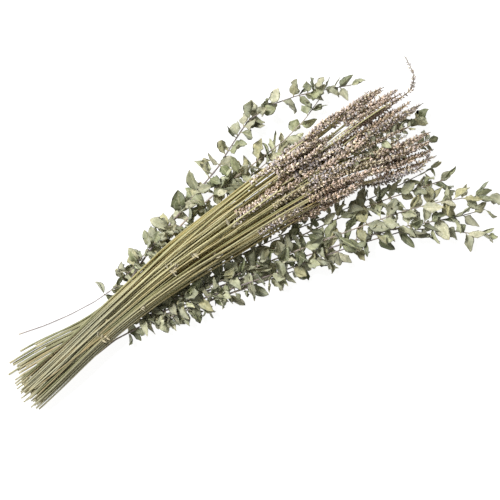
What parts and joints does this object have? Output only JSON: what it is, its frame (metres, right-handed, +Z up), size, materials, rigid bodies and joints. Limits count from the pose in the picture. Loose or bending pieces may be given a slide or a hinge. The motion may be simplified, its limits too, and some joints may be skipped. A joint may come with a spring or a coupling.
{
  "type": "dried lavender and eucalyptus bunch",
  "caption": "Lying bunch of dried lavender: straight stalks pinched at the waist and fanned to narrow flower spikes, over small-leaved eucalyptus sprays.",
  "frame": {"origin": "on the surface it lies on, under the middle of the bunch's box", "axes": "+X from the cut stalk ends to the flower heads, +Y to the left of that, +Z up from the surface"},
  "size_m": [0.4534, 0.2218, 0.0432],
  "materials": {
    "lavender": "dry, matt, finely grooved",
    "eucalyptus": "dry, matt, dull waxy bloom",
    "band": "plain matt rubber"
  },
  "bodies": {
    "root": {"lavender_stem_01": "lavender", "lavender_stem_02": "lavender", "lavender_stem_03": "lavender", "lavender_stem_04": "lavender", "lavender_stem_05": "lavender", "lavender_stem_06": "lavender", "lavender_stem_07": "lavender", "lavender_stem_08": "lavender", "lavender_stem_09": "lavender", "lavender_stem_10": "lavender", "lavender_stem_11": "lavender", "lavender_stem_12": "lavender", "lavender_stem_13": "lavender", "lavender_stem_14": "lavender", "lavender_stem_15": "lavender", "lavender_stem_16": "lavender", "lavender_stem_17": "lavender", "lavender_stem_18": "lavender", "lavender_stem_19": "lavender", "lavender_stem_20": "lavender", "lavender_stem_21": "lavender", "lavender_stem_22": "lavender", "lavender_stem_23": "lavender", "lavender_stem_24": "lavender", "lavender_stem_25": "lavender", "lavender_stem_26": "lavender", "lavender_stem_27": "lavender", "lavender_stem_28": "lavender", "lavender_stem_29": "lavender", "lavender_stem_30": "lavender", "lavender_stem_31": "lavender", "lavender_stem_32": "lavender", "lavender_stem_33": "lavender", "lavender_stem_34": "lavender", "lavender_stem_35": "lavender", "lavender_stem_36": "lavender", "lavender_stem_37": "lavender", "lavender_stem_38": "lavender", "lavender_stem_39": "lavender", "lavender_stem_40": "lavender", "lavender_stem_41": "lavender", "lavender_stem_42": "lavender", "lavender_stem_43": "lavender", "lavender_stem_44": "lavender", "lavender_stem_45": "lavender", "eucalyptus_branch_01": "eucalyptus", "eucalyptus_branch_02": "eucalyptus", "eucalyptus_branch_03": "eucalyptus", "eucalyptus_branch_04": "eucalyptus", "eucalyptus_branch_05": "eucalyptus", "eucalyptus_branch_06": "eucalyptus", "eucalyptus_branch_07": "eucalyptus", "eucalyptus_branch_08": "eucalyptus", "eucalyptus_branch_09": "eucalyptus", "eucalyptus_branch_10": "eucalyptus", "eucalyptus_branch_11": "eucalyptus", "eucalyptus_branch_12": "eucalyptus", "eucalyptus_branch_13": "eucalyptus", "rubber_band": "band"}
  },
  "joints": []
}
